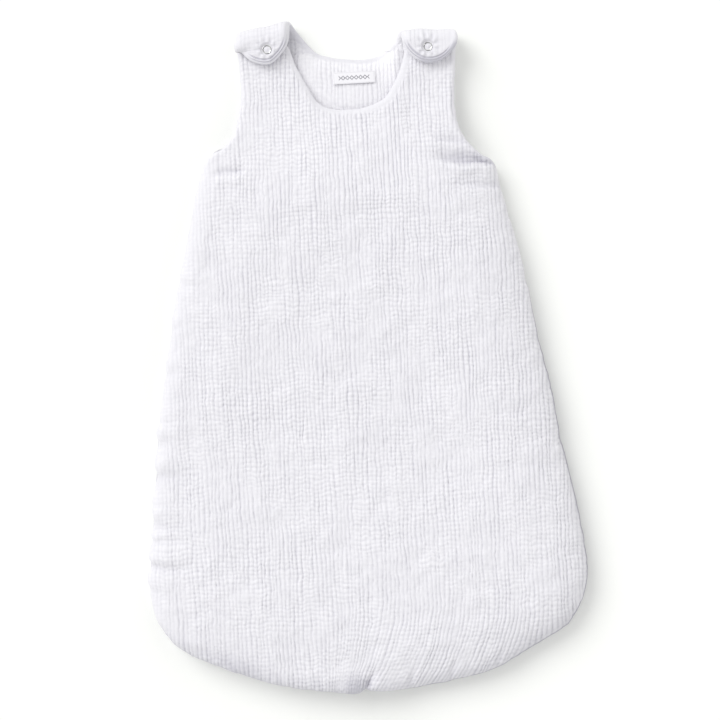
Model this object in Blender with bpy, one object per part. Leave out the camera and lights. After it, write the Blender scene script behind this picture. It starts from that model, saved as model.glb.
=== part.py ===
"""A baby sleeping bag lying closed on its back, built in metres with +Z up and the head end towards +Y.

Front and back are padded panels of three layers: a crinkled muslin shell, a wadding and a lining. They
are sewn together down the bag's right (+X) side and zipped down its left (-X) side and round to the
middle of the hem. Each back strap turns up at the shoulder, and its flap snaps on to the front's tab.
The origin is the middle of the bag's outline, on the surface that it lies on.
"""

import math

import bpy
import numpy as np
from mathutils.geometry import delaunay_2d_cdt

MM = 0.001  # every size below is in millimetres, and goes to metres where a mesh is made

# ---- driving dimensions ----
LENGTH = 700.0  # hem to the fold at the shoulder
HEM_Y = -LENGTH / 2
SEAM_Z = 18.0  # height of the side seam above the surface
CREST_Z = 48.0  # height of the front's middle
BODY_THICK = 14.0  # a padded panel in the body
STRAP_THICK = 9.0  # a padded panel at the shoulder
EDGE_THICK = 6.0  # a padded panel at its hemmed edge
SHELL_THICK = 1.2
LINING_THICK = 0.8
GAP = 0.3  # clearance between pieces that touch
PILLOW_FRONT = 90.0  # how far in from the seam the front keeps rising
PILLOW_BACK = 45.0  # the same for the back, whose middle lies flat
EDGE_ROUND = 16.0  # how far in from any edge a panel reaches its full thickness

# Half outline of the body, from the middle of the hem to the end of the bottom corner.
HEM_CURVE = (
    (0, HEM_Y), (95, -341), (160, -317), (205, -289), (226, -258), (229.5, -228), (226, -185), (214, -91),
)
SIDE_BOTTOM, SIDE_TOP = (214.0, -91.0), (155.0, 184.0)  # the straight side seam
ARMHOLE_CURVE = (
    (155, 184), (151, 203), (135, 214), (121, 229), (113, 255), (111, 281), (113, 301), (115, 315),
)
STRAP_OUTER_X, STRAP_INNER_X = 115.0, 57.0
BACK_NECK_CURVE = ((57, 341.6), (48, 330), (34, 317), (18, 310.5), (0, 309))
FRONT_NECK_CURVE = ((60, 326), (55, 309), (48, 290), (36, 270), (18, 260), (0, 258.5))
TAB_TOP_Y = 333.0  # end of the front's shoulder tab, inside the fold of the strap

# Where the chest's depth falls away to the thin shoulders.
CHEST_Y, SHOULDER_Y = 169.0, 300.0
TAB_UNDER_Z = 14.0  # underside of the front's shoulder tab
STRAIGHT_STRAP_Y = (305.0, 328.0)  # over this stretch a strap's edges stop being rounded

# The fold of the strap over the shoulder: a half turn from the back strap up to the flap.
FOLD_RADIUS = 17.5
FOLD_Y, FOLD_Z = LENGTH / 2 - FOLD_RADIUS, FOLD_RADIUS
FOLD_END = 0.2  # the round is cut off this far short of its apex, to leave a wall of some height
FLAP_TIP_Y, FLAP_SIDE_Y = 304.0, 323.0

# Ring snaps.
SNAP_X, SNAP_Y = 84.0, 321.0
SNAP_RADIUS, SNAP_HOLE = 4.75, 3.1
SNAP_SEAT_THICK = 3.6  # the padding is squeezed to this by a snap
SNAP_SEAT_RADIUS, SNAP_DIMPLE_RADIUS = 5.6, 11.2
PRONGS, PRONG_CIRCLE, PRONG_RADIUS, PRONG_HOLE = 5, 3.9, 0.35, 0.65

# The zip, sewn into the left side and set back between the panels' edges.
ZIP_INSET = 7.0
ZIP_HALF_GAP = 4.5  # the panels' edges stand this far from the middle of the zip
SEWN_HALF_GAP = GAP / 2
ZIP_FADE = 40.0  # the edges close to a plain seam over this distance past the zip's ends
TAPE_THICK, COIL_THICK = 0.5, 1.7
COIL_LOW, COIL_HIGH = 0.6, 2.1  # a coil's rows, measured from the middle of the zip
TAPE_LOW, TAPE_HIGH = 2.4, 4.2
SLIDER_LENGTH, SLIDER_HALF_HEIGHT = 10.0, 3.0
SLIDER_START = 14.0  # the slider's middle, along the side from the underarm
STOP_LENGTH = 3.0
TAPE_END_MARGIN, ZIP_END_MARGIN = 5.0, 8.0  # from the seam's ends to the tape and to the stops
PULL_LENGTH = 22.0

MUSLIN = ("muslin", (0.80, 0.79, 0.83), 0.9, 0.0)
WADDING = ("wadding", (0.86, 0.86, 0.85), 1.0, 0.0)
LINING = ("lining", (0.78, 0.78, 0.81), 0.85, 0.0)
TAPE = ("zip_tape", (0.80, 0.80, 0.82), 0.8, 0.0)
NYLON = ("zip_nylon", (0.82, 0.82, 0.83), 0.35, 0.0)
SNAP_METAL = ("snap_metal", (0.66, 0.66, 0.68), 0.25, 1.0)
SLIDER_PAINT = ("slider_paint", (0.85, 0.85, 0.86), 0.3, 0.0)
LABEL = ("label", (0.86, 0.86, 0.86), 0.7, 0.0)


# ---- small helpers ----
def material_for(finish):
    """The Principled material of a finish, made once."""
    name, colour, roughness, metallic = finish
    made = bpy.data.materials.get(name)
    if made is None:
        made = bpy.data.materials.new(name)
        made.use_nodes = True
        shader = made.node_tree.nodes["Principled BSDF"]
        shader.inputs["Base Color"].default_value = (*colour, 1)
        shader.inputs["Roughness"].default_value = roughness
        shader.inputs["Metallic"].default_value = metallic
    return made


def add_object(name, points_mm, faces, finish):
    """An object made from points in millimetres."""
    mesh = bpy.data.meshes.new(name)
    mesh.from_pydata([tuple(np.asarray(p) * MM) for p in points_mm], [], faces)
    mesh.materials.append(material_for(finish))
    mesh.shade_smooth()
    mesh.set_sharp_from_angle(angle=math.radians(40))
    made = bpy.data.objects.new(name, mesh)
    bpy.context.scene.collection.objects.link(made)
    return made


def smoothstep(value):
    held = np.clip(value, 0, 1)
    return held * held * (3 - 2 * held)


def rounded(distance, reach):
    """A quarter ellipse: 0 at an edge, rising steeply, and 1 from reach onwards."""
    inward = 1 - np.clip(distance / reach, 0, 1)
    return np.sqrt(np.clip(1 - inward * inward, 0, 1))


def curve_through(control, step):
    """Points about step apart on a smooth curve through the control points, both ends included."""
    control = np.array(control, float)
    padded = np.vstack([2 * control[0] - control[1], control, 2 * control[-1] - control[-2]])
    found = [control[0]]
    for a, b, c, d in zip(padded, padded[1:], padded[2:], padded[3:]):
        count = max(1, round(float(np.linalg.norm(c - b)) / step))
        for i in range(1, count + 1):
            t = i / count
            bend = (2 * a - 5 * b + 4 * c - d) * t**2 + (3 * b - a - 3 * c + d) * t**3
            found.append(b + ((c - a) * t + bend) / 2)
    return np.array(found)


def straight_between(start, end, step):
    """Points about step apart on a straight line, both ends included."""
    start, end = np.array(start, float), np.array(end, float)
    count = max(1, round(float(np.linalg.norm(end - start)) / step))
    return start + (end - start) * np.linspace(0, 1, count + 1)[:, None]


def joined(*runs):
    """Runs of points end to end, with a shared end point kept once."""
    kept = [runs[0]]
    for run in runs[1:]:
        same = np.linalg.norm(kept[-1][-1] - run[0]) < 1e-6
        kept.append(run[1:] if same else run)
    return np.vstack(kept)


def mirrored_loop(half):
    """A closed loop from its right half, which runs from the middle of the hem to the middle of the neck."""
    left = half[::-1][1:-1] * (-1, 1)
    return np.vstack([half, left])


def distance_to(points, line, closed=False):
    """Each point's distance to a polyline."""
    starts = line if closed else line[:-1]
    ends = np.roll(line, -1, axis=0) if closed else line[1:]
    along = ends - starts
    t = np.einsum("pse,se->ps", points[:, None] - starts[None], along) / np.einsum("se,se->s", along, along)
    nearest = starts[None] + np.clip(t, 0, 1)[..., None] * along[None]
    return np.linalg.norm(points[:, None] - nearest, axis=2).min(1)


def inside(points, loop):
    """Whether each point lies in a closed loop, by the even-odd rule."""
    a, b = loop[None], np.roll(loop, -1, axis=0)[None]
    x, y = points[:, 0:1], points[:, 1:2]
    straddles = (a[..., 1] > y) != (b[..., 1] > y)
    rise = np.where(b[..., 1] == a[..., 1], 1, b[..., 1] - a[..., 1])
    crossing = a[..., 0] + (y - a[..., 1]) * (b[..., 0] - a[..., 0]) / rise
    return (straddles & (x < crossing)).sum(1) % 2 == 1


def outward_normals(line, closed=False):
    """Mitred normals, to the right of a line's direction, long enough to keep an offset line parallel."""
    if closed:
        before, after = line - np.roll(line, 1, axis=0), np.roll(line, -1, axis=0) - line
    else:
        steps = np.diff(line, axis=0)
        before, after = np.vstack([steps[:1], steps]), np.vstack([steps, steps[-1:]])
    before = before / np.linalg.norm(before, axis=1)[:, None]
    after = after / np.linalg.norm(after, axis=1)[:, None]
    mid = before + after
    mid = mid / np.linalg.norm(mid, axis=1)[:, None]
    mitre = 1 / np.einsum("ij,ij->i", mid, after)
    return np.stack([mid[:, 1], -mid[:, 0]], 1) * mitre[:, None]


def circle(centre, radius, count, turn=0.0):
    angles = turn + np.arange(count) * 2 * math.pi / count
    return np.array(centre) + radius * np.stack([np.cos(angles), np.sin(angles)], 1)


# ---- flat cutting patterns ----
class Pattern:
    """A panel's flat outline cut into triangles, which all of its layers share, so that they can't cross."""

    def __init__(self, loop, holes=(), rows=(), rings=(), loose=None):
        self.loop, self.holes = loop, list(holes)
        inner = [self.loop - outward_normals(self.loop, closed=True) * d for d in rings]
        kept = [r[distance_to(r, loop, closed=True) > 0.92 * d] for r, d in zip(inner, rings)]
        if loose is not None:
            clear = distance_to(loose, loop, closed=True) > 3
            kept.append(loose[clear])
        free = np.vstack(kept) if kept else np.zeros((0, 2))
        free = free[inside(free, loop)]
        for hole in self.holes:
            free = free[distance_to(free, hole, closed=True) > 0.4]
        points, edges = [], []
        for closed_line in [loop, *self.holes]:
            first, count = len(points), len(closed_line)
            points += closed_line.tolist()
            edges += [(first + i, first + (i + 1) % count) for i in range(count)]
        for row in rows:
            first = len(points)
            points += row.tolist()
            edges += [(first + i, first + i + 1) for i in range(len(row) - 1)]
        points += free.tolist()
        found = delaunay_2d_cdt([tuple(p) for p in points], edges, [], 0, 1e-4)
        self.points = np.array([tuple(p) for p in found[0]])
        faces = np.array(found[2])
        centres = self.points[faces].mean(1)
        keep = inside(centres, loop)
        for hole in self.holes:
            keep &= ~inside(centres, hole)
        self.faces, self.centres = faces[keep], centres[keep]

    def layer(self, name, low, high, finish, up_to_y=None):
        """A closed solid between two heights given at every point of the pattern."""
        faces = self.faces if up_to_y is None else self.faces[self.centres[:, 1] < up_to_y]
        used, renumbered = np.unique(faces, return_inverse=True)
        faces = renumbered.reshape(-1, 3)
        plan = self.points[used]
        count = len(plan)
        points = np.vstack([np.column_stack([plan, low[used]]), np.column_stack([plan, high[used]])])
        faces = [tuple(f) for f in faces.tolist()]
        solid = [f[::-1] for f in faces] + [tuple(i + count for i in f) for f in faces]
        directed = {(f[i], f[(i + 1) % 3]) for f in faces for i in range(3)}
        for a, b in sorted(directed):
            if (b, a) not in directed:
                solid += [(a, b, b + count), (a, b + count, a + count)]
        return add_object(name, points, solid, finish)


def three_layers(pattern, prefix, height_at, thickness, row_ends=(None, None, None)):
    """Shell, wadding and lining. height_at(depth) is the height at a depth in from the panel's outside."""
    outside, inside_shell = np.zeros_like(thickness), np.full_like(thickness, SHELL_THICK)
    inside_lining = thickness - LINING_THICK
    layers = (
        ("outer_shell", outside, inside_shell, MUSLIN),
        ("wadding", inside_shell + GAP, inside_lining - GAP, WADDING),
        ("lining", inside_lining, thickness, LINING),
    )
    for (layer, near, far, finish), end in zip(layers, row_ends):
        heights = height_at(near), height_at(far)
        pattern.layer(f"{prefix}_{layer}", np.minimum(*heights), np.maximum(*heights), finish, end)


# ---- outlines ----
def body_half():
    """The right half of the seam, from the middle of the hem up to the underarm."""
    return joined(curve_through(HEM_CURVE, 30), straight_between(SIDE_BOTTOM, SIDE_TOP, 56))


def layer_row_ends():
    """How far past the fold's centre line each layer of a strap reaches, out to its own radius."""
    depths = (0.0, SHELL_THICK + GAP, STRAP_THICK - LINING_THICK)
    return [FOLD_RADIUS - depth - FOLD_END for depth in depths]


def fold_rows():
    """Distances past the fold's centre line where a strap's pattern has a row."""
    shell, wadding, lining = layer_row_ends()
    return [0.0, lining / 2, lining, (lining + wadding) / 2, wadding, shell]


def strap_row(y, inner_x, count=5):
    return np.column_stack([np.linspace(STRAP_OUTER_X, inner_x, count), np.full(count, y)])


def back_strap_inner_x(y):
    """The strap's edge on the neck side, which slants until the neck's curve ends."""
    neck = np.array(BACK_NECK_CURVE)
    return float(np.interp(y, neck[::-1, 1], neck[::-1, 0]))


def back_loop():
    rows = [FOLD_Y + r for r in fold_rows()]
    outer = np.array([(STRAP_OUTER_X, y) for y in rows])
    end = strap_row(rows[-1], STRAP_INNER_X)
    inner = np.array([(back_strap_inner_x(y), y) for y in rows[::-1]])
    neck = np.array(BACK_NECK_CURVE)
    neck = curve_through(neck[neck[:, 1] < FOLD_Y], 14)
    half = joined(body_half(), curve_through(ARMHOLE_CURVE, 16), outer, end, inner, neck)
    return mirrored_loop(half)


def front_loop():
    armhole = curve_through(ARMHOLE_CURVE, 16)
    tab = np.array([(113, 324), (110, 330), (105, TAB_TOP_Y), (87, TAB_TOP_Y), (69, TAB_TOP_Y), (64, 331)])
    neck = curve_through(FRONT_NECK_CURVE, 14)
    return mirrored_loop(joined(body_half(), armhole, tab, neck))


def flap_loop():
    """The right flap: a rounded tip below, straight sides, and rows over the fold."""
    rows = [FOLD_Y + r for r in fold_rows()]
    middle, half_width = (STRAP_OUTER_X + STRAP_INNER_X) / 2, (STRAP_OUTER_X - STRAP_INNER_X) / 2
    angles = np.radians(np.arange(180, 361, 15))
    tip = np.column_stack([
        middle + half_width * np.cos(angles),
        FLAP_SIDE_Y + (FLAP_SIDE_Y - FLAP_TIP_Y) * np.sin(angles),
    ])
    outer = np.array([(STRAP_OUTER_X, y) for y in rows])
    inner = np.array([(STRAP_INNER_X, y) for y in rows[::-1]])
    return joined(tip, outer, strap_row(rows[-1], STRAP_INNER_X), inner)


# ---- panels ----
def sewn_lines():
    """The seam down the right side with its half of the hem, and the zip down the left."""
    right = body_half()
    return right, right * (-1, 1)


def shoulder_share(points):
    """0 in the body and 1 at the shoulders."""
    return smoothstep((points[:, 1] - CHEST_Y) / (SHOULDER_Y - CHEST_Y))


def panel_thickness(points, loop, straight_strap):
    """Full thickness inside, thinner at the edges, and even across a strap where it folds."""
    full = BODY_THICK + (STRAP_THICK - BODY_THICK) * shoulder_share(points)
    share = rounded(distance_to(points, loop, closed=True), EDGE_ROUND)
    tapered = EDGE_THICK + (full - EDGE_THICK) * share
    if not straight_strap:
        return tapered
    low, high = STRAIGHT_STRAP_Y
    even = smoothstep((points[:, 1] - low) / (high - low))
    return tapered + (STRAP_THICK - tapered) * even


def half_gap(points, zipped):
    """How far each panel's seam edge stands from the middle of the seam."""
    past_lip = np.clip(distance_to(points, zipped) - 2 * ZIP_INSET, 0, None)
    near_zip = smoothstep(1 - past_lip / ZIP_FADE)
    return SEWN_HALF_GAP + (ZIP_HALF_GAP - SEWN_HALF_GAP) * near_zip


def pillow_rise(points, sewn, zipped, reach):
    """0 at the seam and along the lip over the zip, and 1 from reach inwards."""
    from_zip = np.clip(distance_to(points, zipped) - ZIP_INSET, 0, None)
    return rounded(np.minimum(distance_to(points, sewn), from_zip), reach)


def dimple(points):
    """1 on the seat under a snap, falling to 0 where the dimple that it presses ends."""
    away = np.hypot(np.abs(points[:, 0]) - SNAP_X, points[:, 1] - SNAP_Y)
    return smoothstep((SNAP_DIMPLE_RADIUS - away) / (SNAP_DIMPLE_RADIUS - SNAP_SEAT_RADIUS))


def prong_holes(snap_x):
    """Small holes where the prongs of a ring go through the cloth."""
    centres = circle((snap_x, SNAP_Y), PRONG_CIRCLE, PRONGS, turn=math.pi / 2)
    return [circle(c, PRONG_HOLE, 5) for c in centres]


def snap_rings(snap_x):
    """Points round a snap that let its dimple keep its shape."""
    return np.vstack([
        [(snap_x, SNAP_Y)],
        circle((snap_x, SNAP_Y), SNAP_SEAT_RADIUS, 8),
        circle((snap_x, SNAP_Y), (SNAP_SEAT_RADIUS + SNAP_DIMPLE_RADIUS) / 2, 10, turn=0.3),
    ])


def grid_points(spacing, loop, clear):
    """A staggered grid over the middle of a loop."""
    low, high = loop.min(0), loop.max(0)
    rows = []
    for n, y in enumerate(np.arange(low[1] + spacing / 2, high[1], spacing * 0.87)):
        xs = np.arange(low[0] + spacing * (0.5 if n % 2 else 1.0), high[0], spacing)
        rows.append(np.column_stack([xs, np.full(len(xs), y)]))
    grid = np.vstack(rows)
    return grid[distance_to(grid, loop, closed=True) > clear]


def build_back():
    loop = back_loop()
    right_seam, left_zip = sewn_lines()
    rows = []
    for side in (1, -1):
        for y in [FOLD_Y + r for r in fold_rows()[:-1]]:
            rows.append(strap_row(y, back_strap_inner_x(y)) * (side, 1))
    pattern = Pattern(loop, rows=rows, rings=(6, 24), loose=grid_points(80, loop, 60))
    at = pattern.points
    rise = pillow_rise(at, right_seam, left_zip, PILLOW_BACK)
    thickness = panel_thickness(at, loop, straight_strap=True)
    seam_top = SEAM_Z - half_gap(at, left_zip)
    full = BODY_THICK + (STRAP_THICK - BODY_THICK) * shoulder_share(at)
    bottom = seam_top + (full - seam_top) * rise - thickness
    past_fold = np.clip(at[:, 1] - FOLD_Y, 0, None)
    top_limit = FOLD_Z - GAP / 2

    def height_at(depth):
        turned = FOLD_Z - np.sqrt(np.clip((FOLD_RADIUS - depth) ** 2 - past_fold**2, 0, None))
        return np.where(past_fold > 0, np.minimum(turned, top_limit), bottom + depth)

    ends = [FOLD_Y + r for r in layer_row_ends()]
    three_layers(pattern, "back", height_at, thickness, ends)
    return loop


def build_front():
    loop = front_loop()
    right_seam, left_zip = sewn_lines()
    holes = prong_holes(SNAP_X) + prong_holes(-SNAP_X)
    loose = np.vstack([grid_points(64, loop, 80), snap_rings(SNAP_X), snap_rings(-SNAP_X)])
    pattern = Pattern(loop, holes=holes, rings=(5, 19, 52), loose=loose)
    at = pattern.points
    rise = pillow_rise(at, right_seam, left_zip, PILLOW_FRONT)
    thickness = panel_thickness(at, loop, straight_strap=False)
    seam_under = SEAM_Z + half_gap(at, left_zip)
    crest_under = CREST_Z - BODY_THICK
    middle_under = crest_under + (TAB_UNDER_Z - crest_under) * shoulder_share(at)
    top = seam_under + (middle_under - seam_under) * rise + thickness
    share = dimple(at)
    pressed = thickness + (SNAP_SEAT_THICK - thickness) * share
    top = top + (TAB_UNDER_Z + STRAP_THICK - top) * share
    three_layers(pattern, "front", lambda depth: top - depth, pressed)


def build_flap(side, name):
    """A strap's flap: side is 1 on the right, -1 on the left. It holds the upper half of the fold."""
    loop = flap_loop()
    rows = [strap_row(FOLD_Y + r, STRAP_INNER_X) for r in fold_rows()[:-1]]
    holes = prong_holes(SNAP_X)
    pattern = Pattern(loop, holes=holes, rows=rows, rings=(5,), loose=snap_rings(SNAP_X))
    at = pattern.points
    past_fold = np.clip(at[:, 1] - FOLD_Y, 0, None)
    underside = FOLD_Z + FOLD_RADIUS - STRAP_THICK
    thickness = STRAP_THICK + (SNAP_SEAT_THICK - STRAP_THICK) * dimple(at)
    bottom_limit = FOLD_Z + GAP / 2

    def height_at(depth):
        turned = FOLD_Z + np.sqrt(np.clip((FOLD_RADIUS - depth) ** 2 - past_fold**2, 0, None))
        return np.where(past_fold > 0, np.maximum(turned, bottom_limit), underside + thickness - depth)

    ends = [FOLD_Y + r for r in layer_row_ends()]
    if side < 0:
        pattern.points = at * (-1, 1)
        pattern.faces = pattern.faces[:, ::-1]
    three_layers(pattern, name, height_at, thickness, ends)


# ---- snaps ----
def turned_profile(name, profile, centre, finish, sides=16):
    """A closed (radius, height) profile turned round a vertical axis. The profile runs anticlockwise."""
    rims = [circle(centre, radius, sides) for radius, _ in profile]
    count = len(profile)
    points = [(*rim[i], height) for i in range(sides) for rim, (_, height) in zip(rims, profile)]
    faces = []
    for i in range(sides):
        here, there = i * count, (i + 1) % sides * count
        for j in range(count):
            k = (j + 1) % count
            faces.append((here + j, there + j, there + k, here + k))
    return add_object(name, points, faces, finish)


def join_into(target, *others):
    """Boolean unions of others into target, applied, with the others removed."""
    for other in others:
        union = target.modifiers.new("join", "BOOLEAN")
        union.operation, union.object = "UNION", other
    graph = bpy.context.evaluated_depsgraph_get()
    graph.update()
    merged = bpy.data.meshes.new_from_object(target.evaluated_get(graph))
    target.modifiers.clear()
    target.data = merged
    for other in others:
        bpy.data.objects.remove(other)
    return target


def rod(name, centre, radius, low, high, finish, sides):
    """An upright round rod."""
    rim = circle(centre, radius, sides)
    points = [(x, y, z) for z in (low, high) for x, y in rim]
    faces = [tuple(range(sides))[::-1], tuple(range(sides, 2 * sides))]
    faces += [(i, (i + 1) % sides, (i + 1) % sides + sides, i + sides) for i in range(sides)]
    return add_object(name, points, faces, finish)


def prong_ring(name, centre, ring_low, ring_high, prong_low, prong_high):
    """An open ring with the prongs that clinch it through the cloth."""
    middle = (ring_low + ring_high) / 2
    bevel = 0.35
    profile = [
        (SNAP_HOLE, middle), (SNAP_HOLE + bevel, ring_low), (SNAP_RADIUS - bevel, ring_low),
        (SNAP_RADIUS, middle), (SNAP_RADIUS - bevel, ring_high), (SNAP_HOLE + bevel, ring_high),
    ]
    ring = turned_profile(name, profile, centre, SNAP_METAL)
    spots = circle(centre, PRONG_CIRCLE, PRONGS, turn=math.pi / 2)
    prongs = [rod("prong", spot, PRONG_RADIUS, prong_low, prong_high, SNAP_METAL, 5) for spot in spots]
    return join_into(ring, *prongs)


def build_snap(side, prefix):
    """Four pieces: cap ring and socket on the flap, stud and backing ring on the front's tab."""
    centre = (side * SNAP_X, SNAP_Y)
    tab_top = TAB_UNDER_Z + STRAP_THICK
    tab_under = tab_top - SNAP_SEAT_THICK
    flap_under = FOLD_Z + FOLD_RADIUS - STRAP_THICK
    flap_top = flap_under + SNAP_SEAT_THICK
    ring_thick, flange_thick, ball_radius, socket_hole = 1.0, 0.8, 1.6, 2.3
    cap_low, prong_start, prong_rest = flap_top + GAP, 0.4, 0.1
    cap = (cap_low, cap_low + ring_thick, flap_under - prong_rest, cap_low + prong_start)
    prong_ring(f"{prefix}_snap_cap_ring", centre, *cap)
    socket_low, socket_high = flap_under - 1.6, flap_under - GAP
    socket = [
        (socket_hole, socket_low), (SNAP_RADIUS - 0.5, socket_low), (SNAP_RADIUS, socket_low + 0.4),
        (SNAP_RADIUS, socket_high), (socket_hole, socket_high),
    ]
    turned_profile(f"{prefix}_snap_socket", socket, centre, SNAP_METAL)
    stud_low, core = tab_top + GAP, 0.25
    ball_top = flap_under - GAP
    stud = [
        (core, stud_low), (SNAP_RADIUS, stud_low), (SNAP_RADIUS, stud_low + flange_thick),
        (ball_radius - 0.5, stud_low + flange_thick), (ball_radius, (stud_low + flange_thick + ball_top) / 2),
        (ball_radius - 0.4, ball_top), (core, ball_top),
    ]
    turned_profile(f"{prefix}_snap_stud", stud, centre, SNAP_METAL)
    ring_high = tab_under - GAP
    backing = (ring_high - ring_thick, ring_high, ring_high - prong_start, tab_top + prong_rest)
    prong_ring(f"{prefix}_snap_backing_ring", centre, *backing)


# ---- zip ----
def ribbon(name, line, near, far, low, high, finish):
    """A band along a line, between two distances out from it and two heights."""
    out = outward_normals(line)
    rings = [line + out * near, line + out * far]
    points = []
    for near_point, far_point in zip(*rings):
        points += [(*near_point, low), (*far_point, low), (*far_point, high), (*near_point, high)]
    faces = [(0, 1, 2, 3)]
    for i in range(len(line) - 1):
        a, b = 4 * i, 4 * i + 4
        faces += [(a + j, b + j, b + (j + 1) % 4, a + (j + 1) % 4) for j in range(4)]
    last = 4 * (len(line) - 1)
    faces.append((last + 3, last + 2, last + 1, last))
    return add_object(name, points, faces, finish)


def along_side(distance, out=0.0):
    """A point beside the zip's straight stretch: its distance from the underarm, and out from the zip."""
    top, bottom = np.array(SIDE_TOP) * (-1, 1), np.array(SIDE_BOTTOM) * (-1, 1)
    down = (bottom - top) / np.linalg.norm(bottom - top)
    outward = np.array([down[1], -down[0]])
    return top + down * distance + outward * (out - ZIP_INSET)


def side_block(name, start, end, near, far, low, high, finish):
    """A block along the left side: start and end run down the side, near and far stand out from it."""
    plan = [along_side(start, near), along_side(end, near), along_side(end, far), along_side(start, far)]
    points = [(x, y, z) for z in (low, high) for x, y in plan]
    faces = [(0, 1, 2, 3), (7, 6, 5, 4)] + [(i, i + 4, (i + 1) % 4 + 4, (i + 1) % 4) for i in range(4)]
    return add_object(name, points, faces, finish)


def build_zip():
    side = sewn_lines()[1][::-1]  # from the underarm down to the middle of the hem
    inset = (side - outward_normals(side) * ZIP_INSET)[1:-1]
    stop_start, stop_end = ZIP_END_MARGIN, ZIP_END_MARGIN + STOP_LENGTH
    hem_y = HEM_Y + ZIP_INSET
    tape_line = np.vstack([along_side(TAPE_END_MARGIN), inset, (-TAPE_END_MARGIN, hem_y)])
    coil_line = np.vstack([along_side(stop_end), inset, (-stop_end, hem_y)])
    coil_near, tape_near = GAP / 2, GAP
    for half, sign in (("front", 1), ("back", -1)):
        tape = sorted((SEAM_Z + sign * TAPE_LOW, SEAM_Z + sign * TAPE_HIGH))
        coil = sorted((SEAM_Z + sign * COIL_LOW, SEAM_Z + sign * COIL_HIGH))
        ribbon(f"zip_tape_{half}", tape_line, tape_near, tape_near + TAPE_THICK, *tape, TAPE)
        ribbon(f"zip_coil_{half}", coil_line, coil_near, coil_near + COIL_THICK, *coil, NYLON)
        stop = (stop_start, stop_end - GAP, coil_near, coil_near + COIL_THICK, *coil)
        side_block(f"zip_top_stop_{half}", *stop, NYLON)
    end_line = np.array([(GAP - stop_end, hem_y), (-stop_start, hem_y)])
    across = (coil_near, coil_near + COIL_THICK, SEAM_Z - COIL_HIGH, SEAM_Z + COIL_HIGH)
    ribbon("zip_bottom_stop", end_line, *across, NYLON)


def build_slider():
    """The slider straddles the coils: a plate on each side, and a blade between the rows that joins them."""
    start, end = SLIDER_START, SLIDER_START + SLIDER_LENGTH
    inner_near, inner_far = -1.3, -GAP / 2
    plate_near, plate_far = COIL_THICK + 0.5, COIL_THICK + 2.0
    half_blade, sunk = 0.3, 0.3
    lug_low, lug_high, lug_far = 1.7, 2.7, plate_far + 2.6

    def block(name, first, last, near, far, low, high):
        return side_block(name, first, last, near, far, SEAM_Z + low, SEAM_Z + high, SLIDER_PAINT)

    height = (-SLIDER_HALF_HEIGHT, SLIDER_HALF_HEIGHT)
    slider = block("zip_slider_body", start, end, plate_near, plate_far, *height)
    inner = block("inner_plate", start, end, inner_near, inner_far, *height)
    blade = block("blade", start + 1, start + 4, inner_near + sunk, plate_far - sunk, -half_blade, half_blade)
    upper = block("upper_lug", start + 3, start + 7, plate_far - sunk, lug_far, lug_low, lug_high)
    lower = block("lower_lug", start + 3, start + 7, plate_far - sunk, lug_far, -lug_high, -lug_low)
    join_into(slider, inner, blade, upper, lower)
    pin_along, pin_out, pin_radius = start + SLIDER_LENGTH / 2, plate_far + 1.75, 0.45
    pin_low, pin_high = SEAM_Z - lug_low + GAP, SEAM_Z + lug_low - GAP
    rod("zip_pull_pin", along_side(pin_along, pin_out), pin_radius, pin_low, pin_high, SNAP_METAL, 8)
    build_pull(pin_along, pin_out, pin_radius + 0.25)


def build_pull(pin_along, pin_out, eye_radius):
    """The pull tab: an eye round the pin, a narrow neck and a wider, rounded grip, 1.3 mm thick."""
    half_thick, neck_half, grip_half, eye_half = 0.65, 1.25, 3.0, 1.35
    middle, eye_outer = along_side(pin_along, pin_out), eye_radius + 0.7
    low, high = SEAM_Z - eye_half, SEAM_Z + eye_half
    eye = [(eye_radius, low), (eye_outer, low), (eye_outer, high), (eye_radius, high)]
    pull = turned_profile("zip_pull_tab", eye, middle, SLIDER_PAINT, sides=12)
    near, far = pin_out - half_thick, pin_out + half_thick
    grip_start, grip_end = pin_along + 5.0, pin_along + PULL_LENGTH
    along_neck = (pin_along + eye_radius + 0.25, grip_start + 1)
    neck = side_block("neck", *along_neck, near, far, SEAM_Z - neck_half, SEAM_Z + neck_half, SLIDER_PAINT)
    profile = [(grip_start, -1.6), (grip_start + 2, -grip_half), (grip_end - 2, -grip_half), (grip_end, -1.4)]
    profile += [(along, -high) for along, high in profile[::-1]]
    plan = [(*along_side(a, out), SEAM_Z + h) for out in (near, far) for a, h in profile]
    count = len(profile)
    faces = [tuple(range(count)), tuple(range(count, 2 * count))[::-1]]
    faces += [(i, i + count, (i + 1) % count + count, (i + 1) % count) for i in range(count)]
    grip = add_object("grip", plan, faces, SLIDER_PAINT)
    return join_into(pull, neck, grip)


# ---- label ----
def build_label():
    """The woven label on the back's lining, below the neck."""
    width, height, thick = 43.0, 13.5, 0.5
    middle_x, middle_y, low = 5.0, 291.0, STRAP_THICK + 1.0
    left, right = middle_x - width / 2, middle_x + width / 2
    bottom, top = middle_y - height / 2, middle_y + height / 2
    plan = [(left, bottom), (right, bottom), (right, top), (left, top)]
    points = [(x, y, z) for z in (low, low + thick) for x, y in plan]
    faces = [(3, 2, 1, 0), (4, 5, 6, 7)] + [(i, (i + 1) % 4, (i + 1) % 4 + 4, i + 4) for i in range(4)]
    add_object("neck_label", points, faces, LABEL)


def main():
    for old in list(bpy.data.objects):
        bpy.data.objects.remove(old)
    build_back()
    build_front()
    for side, name in ((-1, "left_flap"), (1, "right_flap")):
        build_flap(side, name)
    for side, prefix in ((-1, "left"), (1, "right")):
        build_snap(side, prefix)
    build_zip()
    build_slider()
    build_label()


main()
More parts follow.
